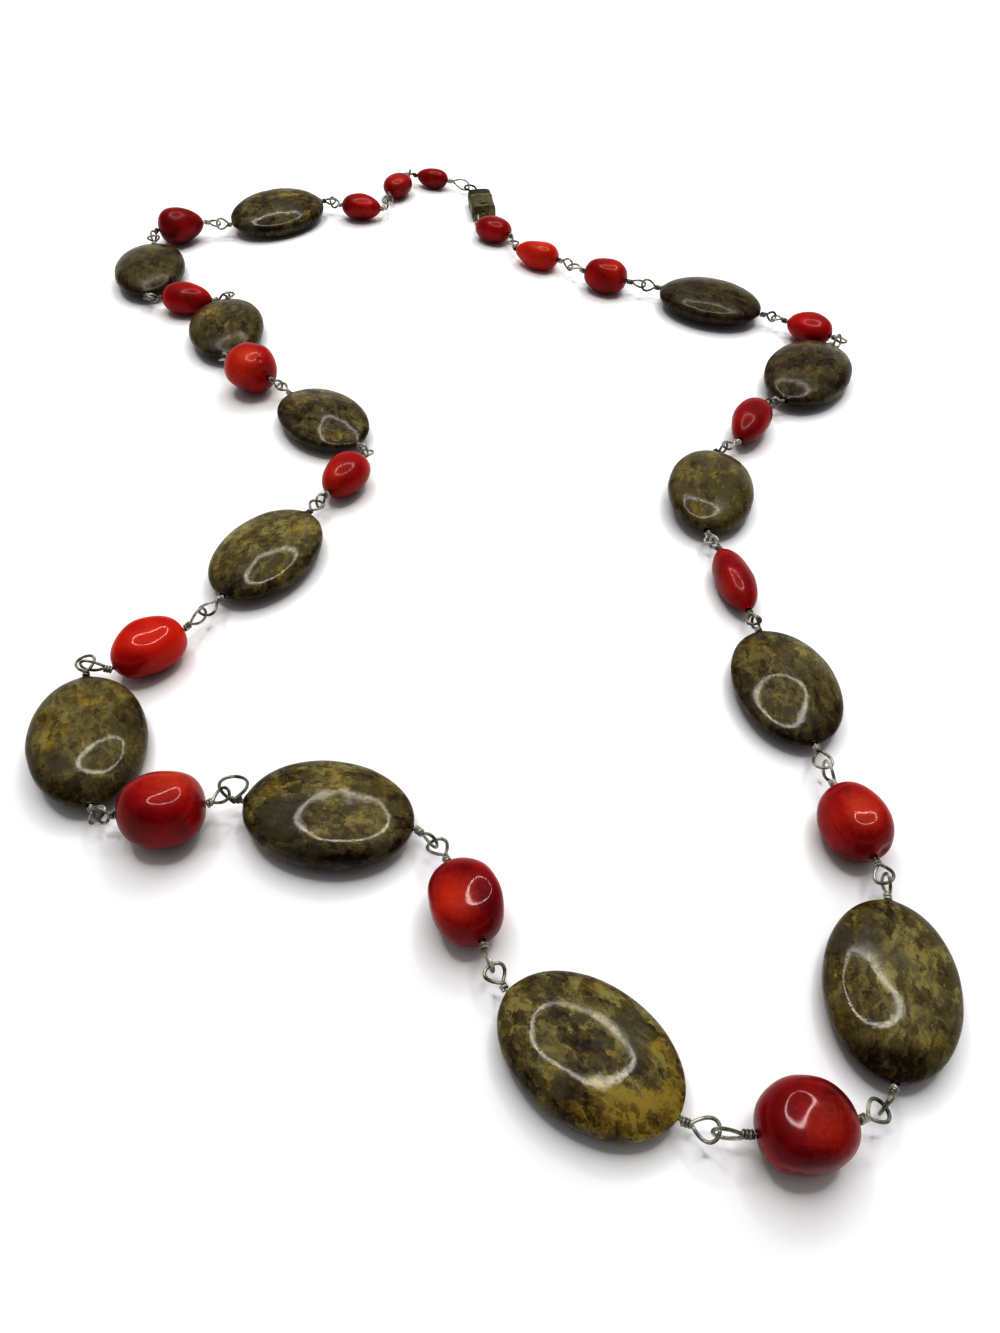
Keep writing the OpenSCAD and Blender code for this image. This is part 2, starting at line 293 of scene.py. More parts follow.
def make_piece(name, points, faces, material, nodes, attributes=None):
    """A smooth mesh from points in millimetres, riding on the necklace in place of its nodes."""
    mesh = bpy.data.meshes.new(name)
    mesh.from_pydata((points * MM).tolist(), [], [list(face) for face in faces])
    for key, values in (attributes or {}).items():
        attribute = mesh.attributes.new(key, "FLOAT_VECTOR", "POINT")
        attribute.data.foreach_set("vector", np.ascontiguousarray(values, dtype=np.float32).ravel())
    mesh.polygons.foreach_set("use_smooth", np.ones(len(mesh.polygons), dtype=bool))
    mesh.materials.append(material)
    mesh.update()
    piece = bpy.data.objects.new(name, mesh)
    bpy.context.scene.collection.objects.link(piece)
    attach(piece, "root")
    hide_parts(*nodes)
    return piece


# How much shorter and longer than its wavelength the waves of a ripple are
RIPPLE_SPREAD = (0.75, 1.35)


def ripple(points, seed, wavelength, count=6):
    """A slow random field about 0: a sum of sines of near one wavelength along random directions."""
    draw = np.random.default_rng(seed)
    ways = draw.normal(size=(count, 3))
    ways /= np.linalg.norm(ways, axis=1, keepdims=True)
    lengths = wavelength * draw.uniform(*RIPPLE_SPREAD, count)
    phases = draw.uniform(0, 2 * math.pi, count)
    return np.sin(points @ (ways.T * 2 * math.pi / lengths) + phases).sum(axis=-1) / math.sqrt(count)


# Beads: the radius of the hole's rounded edge, the rows of points round that edge and along the hole,
# and how far apart two beads lie in the field of ripples and in the pattern of their material
RIM = 0.18
RIM_ROWS = 4
TUNNEL_ROWS = 3
RIPPLE_STEP = 40
PATTERN_STEP = 60.0


def close_bead(skin, length):
    """Adds the drilled hole to a skin whose first and last rows are the hole's rounded edges.

    The edge turns in through a quarter circle of radius RIM, and the hole runs straight through,
    so the whole surface closes on itself both round the bead and along it.
    """
    columns = skin.shape[1]
    t = around(columns)
    bend = np.linspace(0, math.pi / 2, RIM_ROWS + 1)[1:]
    x = length / 2 - RIM + RIM * np.cos(bend)
    r = BORE_D / 2 + RIM - RIM * np.sin(bend)
    inside = np.linspace(x[-1], -x[-1], TUNNEL_ROWS + 2)[1:-1]
    x = np.concatenate([x, inside, -x[::-1]])
    r = np.concatenate([r, np.full(TUNNEL_ROWS, BORE_D / 2), r[::-1]])
    x = np.repeat(x[:, None], columns, 1)
    hole = np.stack([x, r[:, None] * np.cos(t), r[:, None] * np.sin(t)], -1)
    return np.concatenate([skin, hole])


def over_rim(half):
    """Keeps a half size above the hole's edge: the fourth root of both fourth powers' sum."""
    return (half ** 4 + (BORE_D / 2 + RIM) ** 4) ** 0.25


# Stones: points along and round, the powers of the cosine and sine that their height goes with, and
# the height and length of their ripples in mm, with the seed of the first stone's
STONE_ROWS = 84
STONE_COLUMNS = 112
STONE_POWER_ALONG = 1.12
STONE_POWER_ACROSS = 0.8
STONE_RIPPLES = [(0.035, 7.0, 0), (0.007, 2.8, 50)]


def crowned(height, top, flatness, lean):
    """Heights above the wire with the top of the bead flattened, and its crown moved by a lean.

    As a share s of the height of the top it becomes s (1 - f s^4) / (1 - f) times 1 plus the lean.
    """
    share = height / top
    raised = share * (1 - flatness * share ** 4) / (1 - flatness) * top * (1 + lean)
    return np.where(height > 0, raised, height)


def lean_of(a, t, along, across):
    """How much higher the crown is towards one end and side: nothing at the ends of the bead."""
    return (along * np.sin(a) + across * np.cos(t)) * np.cos(a) ** 2


def angles(rows, columns):
    """Angles along a bead from end to end, and round it from its side, as a grid's two edges."""
    return np.linspace(-math.pi / 2, math.pi / 2, rows)[:, None], around(columns)[None, :]


def signed_power(x, power):
    """A power of the size of x, with the sign of x."""
    return np.sign(x) * np.abs(x) ** power


def swollen(i, skin, a, t, ripples):
    """The skin moved in and out by ripples, each of a height, a length and a first seed."""
    apart = skin + RIPPLE_STEP * i
    swell = sum(height * ripple(apart, seed + i, length) for height, length, seed in ripples)
    swell = swell * np.cos(a) ** 2
    skin[..., 2] += swell * np.sin(t)
    skin[..., 1] += swell * np.cos(t)
    return skin


def stone_skin(i, flatness, lean_along, lean_across):
    """An oval puffed evenly: flatter across than an ellipsoid, rounder along, with two low ripples.

    Along the wire x = L/2 sin a, across it y = W/2 cos a cos t, and z = T/2 (cos a)^1.12 (sin t)^0.8.
    """
    row = LINKS[i]
    a, t = angles(STONE_ROWS, STONE_COLUMNS)
    x = row["length"] / 2 * np.sin(a) + 0 * t
    y = over_rim(row["width"] / 2 * np.cos(a)) * np.cos(t)
    height = over_rim(row["thick"] / 2 * np.abs(np.cos(a)) ** STONE_POWER_ALONG)
    height = height * signed_power(np.sin(t), STONE_POWER_ACROSS)
    z = crowned(height, row["thick"] / 2, flatness, lean_of(a, t, lean_along, lean_across))
    skin = swollen(i, np.stack([x, y, z], -1), a, t, STONE_RIPPLES)
    return close_bead(skin, row["length"])


# Corals: points along and round, and their ripple, as for the stones
CORAL_ROWS = 64
CORAL_COLUMNS = 88
CORAL_RIPPLES = [(0.09, 7.0, 100)]


def coral_skin(i, fullness, flatness, lean_along, lean_across, breadth):
    """A nugget like the part's, without its facets and closed over the hole.

    Its half size goes with the given power of the cosine. Its height goes with the given power of
    the sine over the middle, and with the sine itself at the ends. A slow ripple is added.
    """
    row = LINKS[i]
    a, t = angles(CORAL_ROWS, CORAL_COLUMNS)
    half = nugget_half(i, a, t) * np.abs(np.cos(a)) ** (fullness - CORAL_FULLNESS)
    x = row["length"] / 2 * np.sin(a) + 0 * t
    y = over_rim(row["width"] * half) * np.cos(t)
    power = np.where(np.sin(t) > 0, 1 + (breadth - 1) * np.cos(a) ** 2, 1)
    height = over_rim(row["thick"] * half) * signed_power(np.sin(t), power)
    z = crowned(height, row["thick"] / 2, flatness, lean_of(a, t, lean_along, lean_across))
    skin = swollen(i, np.stack([x, y, z], -1), a, t, CORAL_RIPPLES)
    return close_bead(skin, row["length"])


def place_bead(i, skin):
    """Bead i in its row, lifted the hair's breadth that keeps its lowest point on the table."""
    points = in_row(i, skin.reshape(-1, 3))
    points[:, 2] += max(0.0, -points[:, 2].min())
    return points


def bead_coordinates(i, skin):
    """Millimetres along, across and up in the bead itself, so that a pattern turns with the bead."""
    return skin.reshape(-1, 3) + [0.0, 0.0, PATTERN_STEP * i]


# Wire: its sides, its thickness as it looks in the photograph, the angles of the rings that round its
# ends, and a way that no wire runs, to start its first ring from
TUBE_SIDES = 10
SEEN_WIRE_D = 0.56
END_ANGLES = [80, 55, 28]
ASKEW = [0.3, 0.5, 0.8]

# Wrapped turns: their radius and pitch, the last turn's distance from the bead's mouth, the share of
# a turn that is left open, and the reach past its loop that an eye needs for three turns and not two
WRAP_RADIUS = 0.47
WRAP_PITCH = 0.53
WRAP_CLEAR = 0.1
TURN_LEFT = 0.15
THREE_TURNS_REACH = 1.2

# Loops: the breadth as a share of the radius, and the half turns after which the wire drifts aside
LOOP_BREADTH = 1.25
DRIFT_START = 1.1

# Points of a stem, a loop and a wrapped turn, and how often the corners of the path are rounded
STEM_STEPS = 24
LOOP_STEPS = 48
WRAP_STEPS = 18
SOFTENING = 2

# The row whose far loop stands up out of its neck, the length of that neck and the turns round it, the
# length and breadth of the loop, and how far it leans inwards as a share of how far it rises
STANDING_ROW = 15
STANDING_NECK = 2.1
STANDING_TURNS = 3
STANDING_LENGTH = 4.9
STANDING_BREADTH = 3.12
STANDING_LEAN = 0.3

# How far the next wire's loop is raised, in mm, to run clear through the far loop of these rows
RAISED = {15: 1.8, 17: 1.6}


def tube(path, radius):
    """A round tube along a path: rings of points in planes square to it, turned as little as can be.

    Both ends are rounded by three shrinking rings and closed by a small flat.
    """
    tangent = np.gradient(path, axis=0)
    tangent /= np.linalg.norm(tangent, axis=1, keepdims=True)
    bulge = np.radians(END_ANGLES)
    reach = radius * np.sin(bulge)[:, None]
    shrunk = radius * np.cos(bulge)
    path = np.concatenate([path[0] - tangent[0] * reach, path, path[-1] + tangent[-1] * reach[::-1]])
    radii = np.concatenate([shrunk, np.full(len(tangent), radius), shrunk[::-1]])
    more = len(bulge)
    tangent = np.concatenate([[tangent[0]] * more, tangent, [tangent[-1]] * more])
    side = np.empty_like(tangent)
    side[0] = unit(np.cross(tangent[0], ASKEW))
    for k in range(1, len(tangent)):
        side[k] = unit(side[k - 1] - tangent[k] * (side[k - 1] @ tangent[k]))
    other = np.cross(tangent, side)
    t = around(TUBE_SIDES)
    ring = np.cos(t)[None, :, None] * side[:, None] + np.sin(t)[None, :, None] * other[:, None]
    points = (path[:, None] + radii[:, None, None] * ring).reshape(-1, 3)
    faces = [tuple(face) for face in grid_faces(len(path), TUBE_SIDES, False, True)[:, ::-1]]
    last = len(points) - TUBE_SIDES
    faces.append(tuple(range(TUBE_SIDES - 1, -1, -1)))
    faces.append(tuple(range(last, last + TUBE_SIDES)))
    return points, faces


def join(parts):
    """Several (points, faces) as one."""
    faces = []
    start = 0
    for points, made in parts:
        faces += [tuple(int(v) + start for v in face) for face in made]
        start += len(points)
    return np.concatenate([points for points, _ in parts]), faces


def eye_frame(p, q, turn):
    """Ways of an eye at mouth p for joint q: along its neck, square to its loop, and in its loop."""
    along = unit(q - p)
    level = unit(np.cross([0.0, 0.0, 1.0], along))
    up = np.cross(along, level)
    turn = math.radians(turn)
    square = level * math.cos(turn) + up * math.sin(turn)
    flat = up * math.cos(turn) - level * math.sin(turn)
    return along, square, flat


def loop_and_turns(p, along, square, other, neck, turns, long_way, length, wide_way, breadth):
    """Path of a wire from the end of a neck at p: round a drop-shaped loop, and back round the neck.

    The loop from angle 0 to 360 is L/2 (1 - cos) the long way and B sin(angle) sin(angle / 2) the
    wide way, so it is pointed at the neck and round at the joint. It drifts aside to meet the turns,
    which are a helix about the neck.
    """
    angle = np.linspace(0, 2 * math.pi, LOOP_STEPS)[:, None]
    aside = WRAP_RADIUS * smooth_step((angle / math.pi - DRIFT_START) / (2 - DRIFT_START))
    loop = p + along * neck + long_way * (length / 2 * (1 - np.cos(angle))) + square * aside
    loop = loop + wide_way * (breadth * np.sin(angle) * np.sin(angle / 2))
    wind = np.linspace(0, 2 * math.pi * (turns - TURN_LEFT), WRAP_STEPS * turns)[1:, None]
    down = neck - (neck - WRAP_CLEAR) * wind / wind[-1]
    wrap = p + along * down + WRAP_RADIUS * (square * np.cos(wind) + other * np.sin(wind))
    return np.concatenate([loop, wrap])


def wrapped_eye(p, q, loop_r, turn):
    """Path of a wire from mouth p along its neck towards joint q: a loop in line with the neck.

    It ends where the part's does, at the length of the part's neck and twice the loop's radius.
    """
    along, square, flat = eye_frame(p, q, turn)
    reach = max(NECK_MIN, np.linalg.norm(q - p) - loop_r * (1 + LOOP_REACH)) + 2 * loop_r
    turns = 2 if reach < 2 * loop_r + THREE_TURNS_REACH else 3
    neck = max(NECK_MIN, turns * WRAP_PITCH)
    return loop_and_turns(p, along, square, flat, neck, turns, along, reach - neck,
                          flat, LOOP_BREADTH * loop_r)


def standing_eye(p, q):
    """Path of a wire from mouth p: a loop that stands up on the end of its neck and leans inwards."""
    along = unit(q - p)
    inwards = unit(np.cross(along, [0.0, 0.0, 1.0]))
    tall = unit(np.cross(inwards, along) + STANDING_LEAN * inwards)
    return loop_and_turns(p, along, np.cross(tall, along), tall, STANDING_NECK, STANDING_TURNS, tall,
                          STANDING_LENGTH, along, STANDING_BREADTH)


def soften(path, passes):
    """Rounds a path's corners: each point moves to the mean of itself and its neighbours' middle."""
    for _ in range(passes):
        path[1:-1] = path[1:-1] / 2 + (path[:-2] + path[2:]) / 4
    return path


def wire(i):
    """The wire of bead i, from one cut end through the bead to the other."""
    before = (i - 1) % COUNT
    near_joint = joint(before) + [0, 0, RAISED.get(before, 0.0)]
    far_joint = joint(i)
    start = mouth(near_end(i), -ahead(i), near_joint)
    stop = mouth(far_end(i), ahead(i), far_joint)
    back = wrapped_eye(start, near_joint, LINKS[before]["loop"], LINKS[before]["twist"] + 90)
    front = wrapped_eye(stop, far_joint, LINKS[i]["loop"], LINKS[i]["twist"])
    if i == STANDING_ROW:
        front = standing_eye(stop, far_joint)
    stem = np.linspace(start, stop, STEM_STEPS)
    path = np.concatenate([back[::-1], stem, front])
    return tube(soften(path, SOFTENING), SEEN_WIRE_D / 2)


# Clasp: the points round it, and the power n of its section. Its parts are profiles: how far along the
# clasp a ring of points lies, and how far out of the clasp's sides, in mm. The end faces are flats
# that reach to these offsets.
CLASP_COLUMNS = 96
CLASP_SQUARENESS = 4.5
FLAT = (-2.2, -1.2)

# The rolled rim of the box, from its side round the mouth and in, as places along from the mouth
ROLLED_RIM = [(0.75, 0.02), (0.68, 0.10), (0.5, 0.14), (0.2, 0.14), (0.06, 0.08), (0.0, -0.05),
              (0.0, -0.55), (0.08, -0.67), (0.3, -CLASP_WALL)]

# Radii of the rounded edges at the box's closed end and at the front and back of the tongue's head,
# and how much smaller the head is towards its eye
BOX_EDGE = 0.5
HEAD_FRONT_EDGE = 0.25
HEAD_BACK_EDGE = 0.8
HEAD_TAPER = 0.1

# The leaf of the tongue: its points round, half width and half thickness, how far its root lies in
# the head, the height of its lower half, the radius of its fold, and where its tip ends
LEAF_COLUMNS = 24
LEAF_HALF_WIDTH = 2.15
LEAF_HALF_THICK = 0.2
LEAF_ROOT = 0.3
LEAF_FLOOR = -0.8
LEAF_FOLD = 0.5
LEAF_TIP_ALONG = 1.2
LEAF_TIP_UP = 1.2

# The catch on the box: its points round, its half sizes along and across, how far its middle lies
# from the closed end, and its section as shares of the half sizes and heights above the box
CATCH_COLUMNS = 48
CATCH_HALF_SIZES = (0.95, 0.8)
CATCH_FROM_END = 2.4
CATCH_SECTION = [(1.0, -0.3), (1.0, 0.22), (0.97, 0.31), (0.88, 0.36), (0.5, 0.38), (0.1, 0.38)]

# The eyes of the clasp: how deep in the end face the wire starts, and the points of its stem
EYE_ROOT = 0.5
EYE_STEPS = 8


def rounded_square(count):
    """Points round a superellipse |y|^n + |z|^n = 1: a square with rounded corners."""
    t = around(count)[None, :]
    power = 2 / CLASP_SQUARENESS
    return signed_power(np.cos(t), power), signed_power(np.sin(t), power)


def capped(rings):
    """Points and faces of a row of rings of points, with a flat over its first and its last ring."""
    rows, columns = rings.shape[:2]
    faces = [tuple(face) for face in grid_faces(rows, columns, False, True)]
    faces.append(tuple(range(columns)))
    faces.append(tuple(range(rows * columns - 1, rows * columns - columns - 1, -1)))
    return rings.reshape(-1, 3), faces


def clasp_shell(profile):
    """A shell round the clasp's middle line, from places along it and offsets from the clasp's sides.

    Each ring is the rounded square of half sizes W/2 + offset and T/2 + offset.
    """
    row = LINKS[CLASP_ROW]
    x, offset = np.array(profile).T[:, :, None]
    y, z = rounded_square(CLASP_COLUMNS)
    y = (row["width"] / 2 + offset) * y
    z = (row["thick"] / 2 + offset) * z
    return capped(np.stack([x + 0 * y, y, z], -1))


def turned_edge(x, offset, radius, inward):
    """A quarter circle of places and offsets that turns from an end face at x to the side at offset."""
    bend = np.linspace(math.pi / 2, 0, 6)
    return [(x - inward * radius * (1 - math.sin(a)), offset - radius * (1 - math.cos(a)))
            for a in bend]


def clasp_box_shell():
    """The box: a closed end, sides, a rolled rim round the mouth, and the walls of the slot inside."""
    end = LINKS[CLASP_ROW]["length"] / 2
    rim = end - CLASP_BOX_LENGTH
    floor = end - CLASP_WALL
    back = [(end, offset) for offset in FLAT] + turned_edge(end, 0, BOX_EDGE, 1)
    side = [(x, 0.0) for x in np.linspace(end - 0.7, rim + 0.85, 12)]
    lip = [(rim + x, offset) for x, offset in ROLLED_RIM]
    slot = [(x, -CLASP_WALL) for x in np.linspace(rim + 1, floor - 0.4, 6)]
    bottom = [(floor, -CLASP_WALL - 0.4), (floor, FLAT[0])]
    return clasp_shell(back + side + lip + slot + bottom)


def clasp_head():
    """The head of the tongue: a short solid with the box's section, rounder at its far end."""
    end = -LINKS[CLASP_ROW]["length"] / 2
    face = LINKS[CLASP_ROW]["length"] / 2 - CLASP_BOX_LENGTH - TONGUE_GAP
    front = [(face, offset) for offset in FLAT] + turned_edge(face, 0, HEAD_FRONT_EDGE, 1)
    back = turned_edge(end, -HEAD_TAPER, HEAD_BACK_EDGE, -1)[::-1] + [(end, -1.4), (end, FLAT[0])]
    side = [(x, -HEAD_TAPER * (face - x) / (face - end))
            for x in np.linspace(face - 0.4, end + 1.0, 8)]
    return clasp_shell(front + side + back)


def clasp_leaf():
    """The spring of the tongue: a strip that runs into the box, folds back on itself, and rises."""
    start = LINKS[CLASP_ROW]["length"] / 2 - CLASP_BOX_LENGTH - TONGUE_GAP - LEAF_ROOT
    fold = start + TONGUE_REACH
    bend = np.linspace(-math.pi / 2, math.pi / 2, 13)
    x = np.concatenate([np.linspace(start, fold, 10)[:-1], fold + LEAF_FOLD * np.cos(bend),
                        np.linspace(fold, start + LEAF_TIP_ALONG, 10)[1:]])
    z = np.concatenate([np.full(9, LEAF_FLOOR), LEAF_FLOOR + LEAF_FOLD * (1 + np.sin(bend)),
                        np.linspace(LEAF_FLOOR + 2 * LEAF_FOLD, LEAF_TIP_UP, 10)[1:]])
    way = np.stack([np.gradient(x), np.gradient(z)])
    way_x, way_z = (way / np.linalg.norm(way, axis=0))[:, :, None]
    across, up = rounded_square(LEAF_COLUMNS)
    thick = LEAF_HALF_THICK * up
    x = x[:, None] + thick * way_z
    z = z[:, None] - thick * way_x
    return capped(np.stack([x, LEAF_HALF_WIDTH * across + 0 * x, z], -1))


def clasp_tab():
    """The small square catch that stands on the box near its closed end."""
    row = LINKS[CLASP_ROW]
    share, rise = np.array(CATCH_SECTION).T[:, :, None]
    x, y = rounded_square(CATCH_COLUMNS)
    half_along, half_across = CATCH_HALF_SIZES
    x = row["length"] / 2 - CATCH_FROM_END + half_along * share * x
    y = half_across * share * y
    return capped(np.stack([x, y, row["thick"] / 2 + rise + 0 * x], -1)[::-1])


def clasp_eye(side):
    """A wire from inside the clasp out to its wrapped eye, at its far end (1) or its near one (-1)."""
    eye_row = CLASP_ROW if side > 0 else (CLASP_ROW - 1) % COUNT
    face = far_end(CLASP_ROW) if side > 0 else near_end(CLASP_ROW)
    out = side * ahead(CLASP_ROW)
    start = mouth(face, out, joint(eye_row))
    turn = LINKS[eye_row]["twist"] + (0 if side > 0 else 90)
    stem = np.linspace(face - EYE_ROOT * out, start, EYE_STEPS)[:-1]
    eye = wrapped_eye(start, joint(eye_row), LINKS[eye_row]["loop"], turn)
    return tube(soften(np.concatenate([stem, eye]), SOFTENING), SEEN_WIRE_D / 2)


def make_clasp_piece(name, solids, eye, material, node):
    """Solids about the clasp's middle line, put in its row and joined with their wire eye."""
    parts = [(in_row(CLASP_ROW, points), faces) for points, faces in solids]
    lift = max(0.0, -min(points[:, 2].min() for points, _ in parts))
    parts = [(points + [0, 0, lift], faces) for points, faces in parts]
    points, faces = join(parts + [eye])
    make_piece(name, points, faces, material, [node])


# Materials

def linear(colour):
    """An sRGB hex colour as the linear red, green, blue and alpha that Blender wants."""
    shares = np.array([int(colour[k:k + 2], 16) for k in (1, 3, 5)]) / 255
    low = shares / 12.92
    high = ((shares + 0.055) / 1.055) ** 2.4
    return (*np.where(shares <= 0.04045, low, high).tolist(), 1.0)


def add(tree, kind, values=None, links=None, stops=None, **settings):
    """Adds a node: its input values, what is linked to its inputs, a ramp's stops, and its settings.

    What is linked is a socket, or a node that stands for its first output.
    """
    node = tree.nodes.new(kind)
    for key, value in settings.items():
        setattr(node, key, value)
    for key, value in (values or {}).items():
        node.inputs[key].default_value = value
    for key, source in (links or {}).items():
        socket = source.outputs[0] if isinstance(source, bpy.types.Node) else source
        tree.links.new(socket, node.inputs[key])
    if stops:
        while len(node.color_ramp.elements) < len(stops):
            node.color_ramp.elements.new(0.5)
        for element, (position, colour) in zip(node.color_ramp.elements, stops):
            element.position = position
            element.color = linear(colour)
    return node


def new_material(name):
    """An empty material, and its node tree."""
    material = bpy.data.materials.new(name)
    material.use_nodes = True
    material.node_tree.nodes.clear()
    return material, material.node_tree


# Sizes in the bronzite, in mm, each as 10 mm over how many of them it holds: clouds, the swirls that
# tear the flakes, flakes, the chips in them, streaks, grain, golden clouds and grey smoke. The swirls
# carry the flakes by up to their reach, in mm.
CLOUD = 10 / 1.5
SWIRL = 10 / 4
FLAKE = 10 / 6.2
CHIP = 10 / 15
STREAK = 10 / 9
GRAIN = 10 / 24
GOLD = 10 / 2
SMOKE = 10 / 1.7
SWIRL_REACH = 3.5


def polished_bronzite():
    """Bronzite, tumbled and polished: torn flakes of olive, gold and brown mica in dark ground.

    Clouds, flakes with chips in them, streaks and grain add up to one tone, whose strength is the
    stone's own. It goes through an olive and a golden ramp, both with steps in them, so the flakes
    have torn edges. Gold and grey smoke gather in clouds of their own. The polish over it is a little
    wavy, from the grain.
    """
    material, tree = new_material("polished_bronzite")
    where = add(tree, "ShaderNodeAttribute", attribute_name="bead_mm").outputs["Vector"]
    looks = add(tree, "ShaderNodeAttribute", attribute_name="patch").outputs["Vector"]
    looks = add(tree, "ShaderNodeSeparateXYZ", links={0: looks})
    finish = add(tree, "ShaderNodeAttribute", attribute_name="finish").outputs["Vector"]
    finish = add(tree, "ShaderNodeSeparateXYZ", links={0: finish})
    swirl = add(tree, "ShaderNodeTexNoise", {"Scale": 1 / SWIRL, "Detail": 5.0, "Roughness": 0.7},
                {"Vector": where})
    torn = add(tree, "ShaderNodeVectorMath", {1: [SWIRL_REACH] * 3},
               {0: swirl.outputs["Color"], 2: where}, operation="MULTIPLY_ADD")
    drawn = add(tree, "ShaderNodeMapping", {"Scale": (0.5, 1.0, 1.0), "Rotation": (0.0, 0.0, 0.5)},
                {"Vector": torn})
    cloud = add(tree, "ShaderNodeTexNoise",
                {"Scale": 1 / CLOUD, "Detail": 8.0, "Roughness": 0.6, "Distortion": 0.6},
                {"Vector": where})
    tone = add(tree, "ShaderNodeMath", {1: 0.75, 2: -0.98}, {0: cloud}, operation="MULTIPLY_ADD")
    for size, share in ((FLAKE, 0.29), (CHIP, 0.22)):
        flake = add(tree, "ShaderNodeTexVoronoi", {"Scale": 1 / size}, {"Vector": drawn})
        flake = add(tree, "ShaderNodeSeparateColor", links={0: flake.outputs["Color"]})
        tone = add(tree, "ShaderNodeMath", {1: share}, {0: flake, 2: tone}, operation="MULTIPLY_ADD")
    streak = add(tree, "ShaderNodeTexNoise", {"Scale": 1 / STREAK, "Detail": 5.0, "Roughness": 0.65},
                 {"Vector": drawn})
    tone = add(tree, "ShaderNodeMath", {1: 0.50}, {0: streak, 2: tone}, operation="MULTIPLY_ADD")
    grain = add(tree, "ShaderNodeTexNoise", {"Scale": 1 / GRAIN, "Detail": 3.0, "Roughness": 0.6},
                {"Vector": where})
    tone = add(tree, "ShaderNodeMath", {1: 0.20}, {0: grain, 2: tone}, operation="MULTIPLY_ADD")
    # The patch attribute adds each stone's tone and patches, and painted shade on its edge and
    # underside.
    tone = add(tree, "ShaderNodeMath", links={0: tone, 1: finish.outputs["X"], 2: looks.outputs["X"]},
               operation="MULTIPLY_ADD")
    tone = add(tree, "ShaderNodeMath", {1: 0.5}, {0: tone})
    olive = add(tree, "ShaderNodeValToRGB", links={"Fac": tone}, stops=[
        (0.08, "#231b10"), (0.25, "#35291a"), (0.28, "#423820"), (0.40, "#4b4028"), (0.43, "#585030"),
        (0.58, "#605637"), (0.61, "#706742"), (0.73, "#787048"), (0.76, "#8a8054")])
    golden = add(tree, "ShaderNodeValToRGB", links={"Fac": tone}, stops=[
        (0.10, "#20160c"), (0.30, "#3a2e17"), (0.33, "#4e401f"), (0.47, "#5b4d25"), (0.50, "#70602e"),
        (0.62, "#796a33"), (0.65, "#8c7a3d"), (0.80, "#97863f")])
    gold = add(tree, "ShaderNodeTexNoise", {"Scale": 1 / GOLD, "Detail": 4.0}, {"Vector": torn})
    gold = add(tree, "ShaderNodeMath", links={0: gold, 1: looks.outputs["Z"]})
    gold = add(tree, "ShaderNodeMapRange", {"From Min": 0.56, "From Max": 0.70, "To Max": 0.85},
               {"Value": gold}, interpolation_type="SMOOTHSTEP")
    colour = add(tree, "ShaderNodeMix", links={0: gold, 6: olive, 7: golden}, data_type="RGBA")
    smoke = add(tree, "ShaderNodeTexNoise", {"Scale": 1 / SMOKE, "Detail": 5.0, "Roughness": 0.6},
                {"Vector": torn})
    smoke = add(tree, "ShaderNodeMath", links={0: smoke, 1: looks.outputs["Y"]})
    smoke = add(tree, "ShaderNodeMapRange", {"From Min": 0.52, "From Max": 0.68, "To Max": 0.6},
                {"Value": smoke}, interpolation_type="SMOOTHSTEP")
    colour = add(tree, "ShaderNodeMix", {7: linear("#545044")}, {0: smoke, 6: colour.outputs[2]},
                 data_type="RGBA")
    dull = add(tree, "ShaderNodeMapRange", {"To Min": 0.5, "To Max": 0.3}, {"Value": grain})
    wavy = add(tree, "ShaderNodeBump", {"Strength": 0.5, "Distance": 0.02 * MM}, {"Height": grain})
    shader = add(tree, "ShaderNodeBsdfPrincipled",
                 {"IOR": 1.66, "Specular IOR Level": 0.1, "Coat Weight": 0.42},
                 {"Base Color": colour.outputs[2], "Roughness": dull,
                  "Coat Roughness": finish.outputs["Y"], "Coat Normal": wavy})
    add(tree, "ShaderNodeOutputMaterial", links={"Surface": shader})
    return material


# Sizes in the coral, in mm, as 10 mm over how many of them it holds: the drift of the dye, and specks
DRIFT = 10 / 1.6
SPECK = 10 / 13


